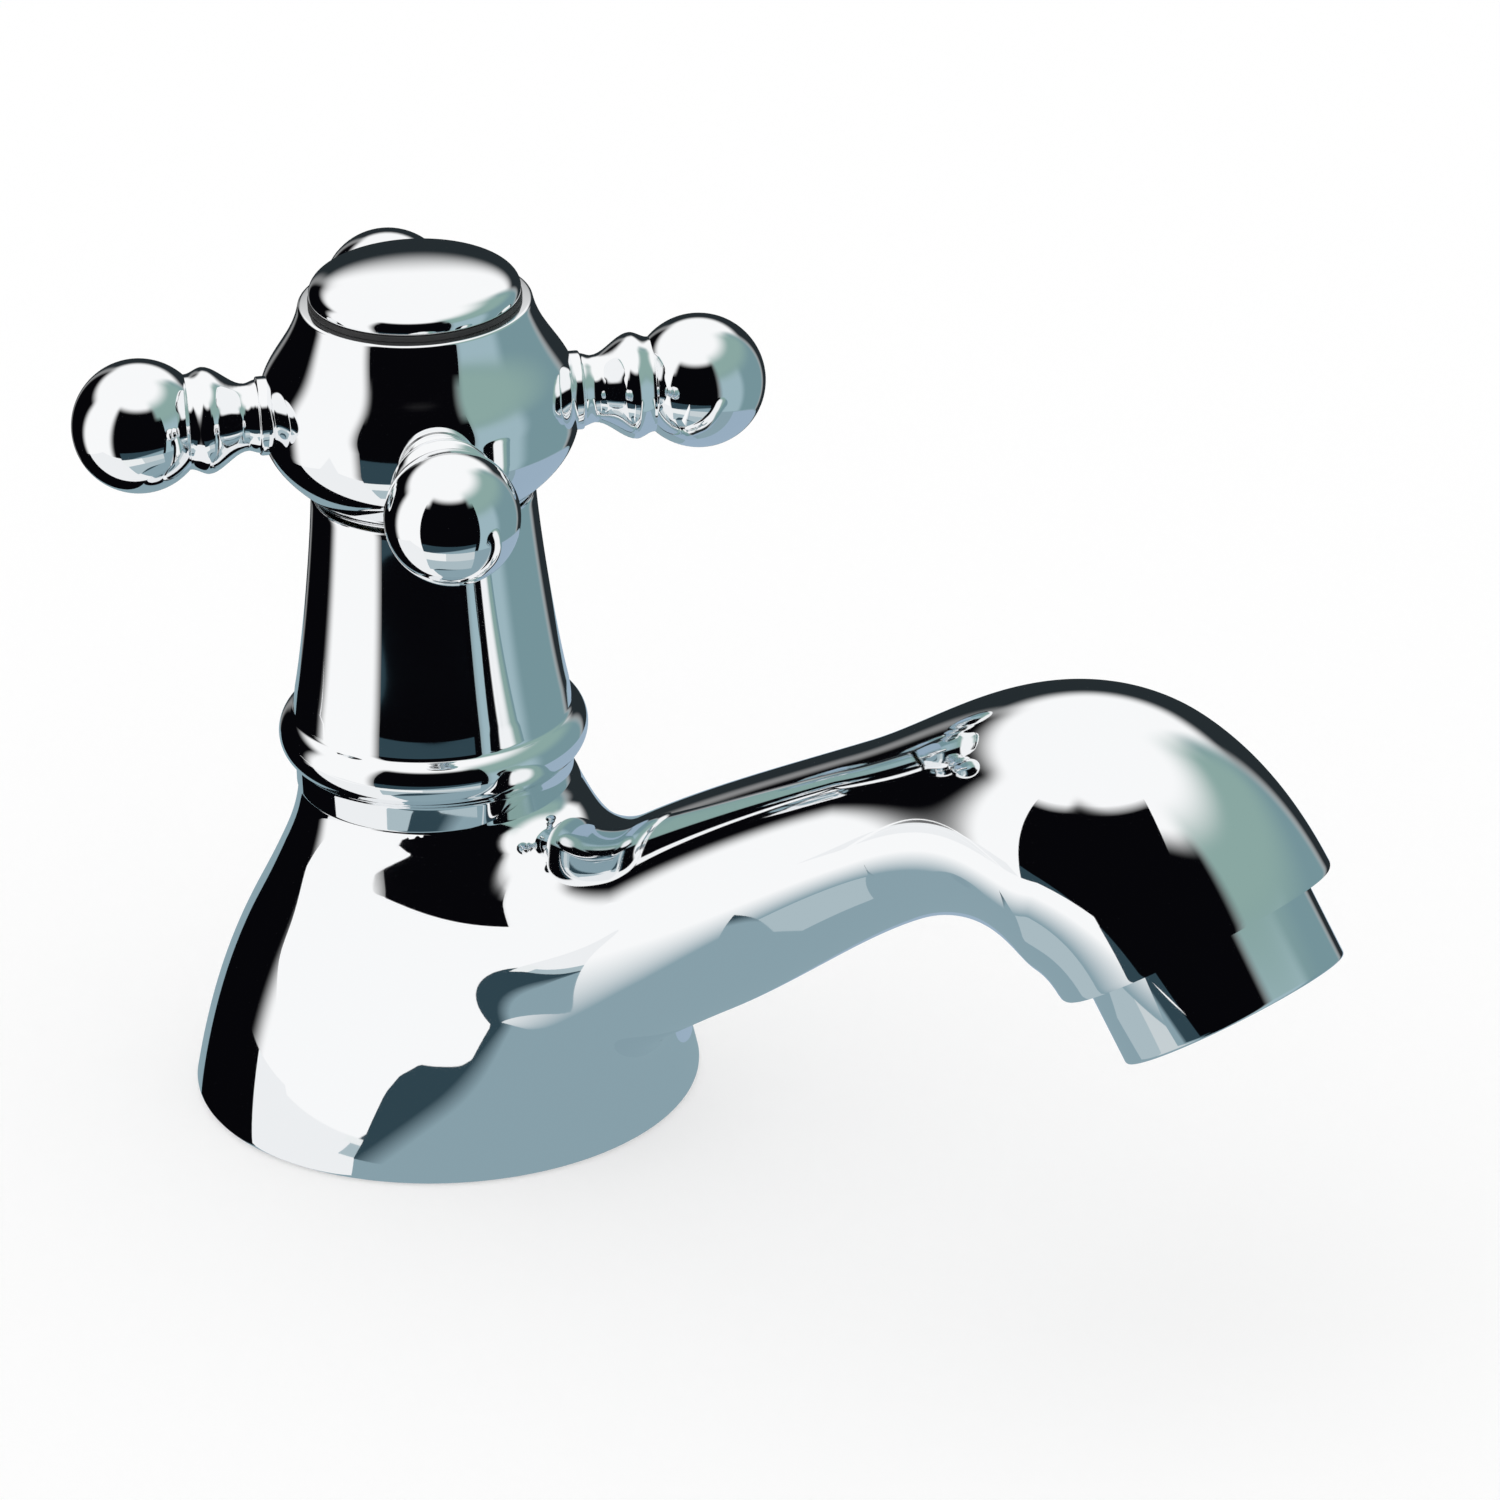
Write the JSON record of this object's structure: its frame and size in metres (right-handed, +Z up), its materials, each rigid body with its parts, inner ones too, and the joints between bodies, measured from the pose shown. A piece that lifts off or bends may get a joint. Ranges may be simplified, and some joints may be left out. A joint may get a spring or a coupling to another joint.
{
  "type": "basin pillar tap",
  "caption": "Deck-mounted basin pillar tap: bell foot, swan spout, tapered shroud, cross handle with ball ends, screw-down valve and a threaded inlet tail.",
  "frame": {"origin": "on the tap's vertical axis, in the plane of the foot's underside, which stands on the basin's deck", "axes": "+Z up along the axis of the valve, the handle and the inlet; +X the way the spout points"},
  "size_m": [0.1362, 0.0538, 0.1408],
  "materials": {
    "chrome_body": "polished chrome plate on cast brass",
    "chrome_turned": "polished chrome plate on turned brass",
    "brass": "machined, unplated",
    "rubber": "black, matt",
    "nylon": "white moulded",
    "zinc_steel": "zinc plated",
    "stainless_wire": "fine woven wire"
  },
  "bodies": {
    "tap_body": {"body_casting": "chrome_body", "inlet_tail": "brass", "foot_gasket": "rubber", "under_deck_washer": "rubber", "clamp_washer": "zinc_steel", "backnut": "brass", "valve_bonnet": "brass", "bonnet_seal": "rubber", "shroud_o_ring": "rubber", "shroud": "chrome_turned", "thrust_washer": "nylon", "nozzle_washer": "rubber", "nozzle_shell": "chrome_turned", "aerator_cartridge": "nylon", "aerator_screen": "stainless_wire"},
    "handle": {"spindle": "brass", "spindle_o_rings": "rubber", "spindle_circlip": "zinc_steel", "hub_insert": "nylon", "handle_hub": "chrome_turned", "handle_arm_1": "chrome_turned", "handle_arm_2": "chrome_turned", "handle_arm_3": "chrome_turned", "handle_arm_4": "chrome_turned", "handle_screw": "zinc_steel", "cap_ring": "rubber", "domed_cap": "chrome_turned"},
    "jumper": {"jumper_carrier": "brass", "jumper_washer": "rubber", "jumper_nut": "brass"}
  },
  "joints": [
    {"name": "handle_turn", "type": "hinge", "parent": "tap_body", "child": "handle", "pos_m": [0, 0, 0.07], "axis": [0, 0, 1], "range_deg": [0, 900]},
    {"name": "jumper_lift", "type": "slide", "parent": "tap_body", "child": "jumper", "axis": [0, 0, 1], "range_m": [0, 0.005]}
  ],
  "couplings": [
    {"joint": "jumper_lift", "follows": "handle_turn", "m_per_rad": 0.00031831}
  ]
}
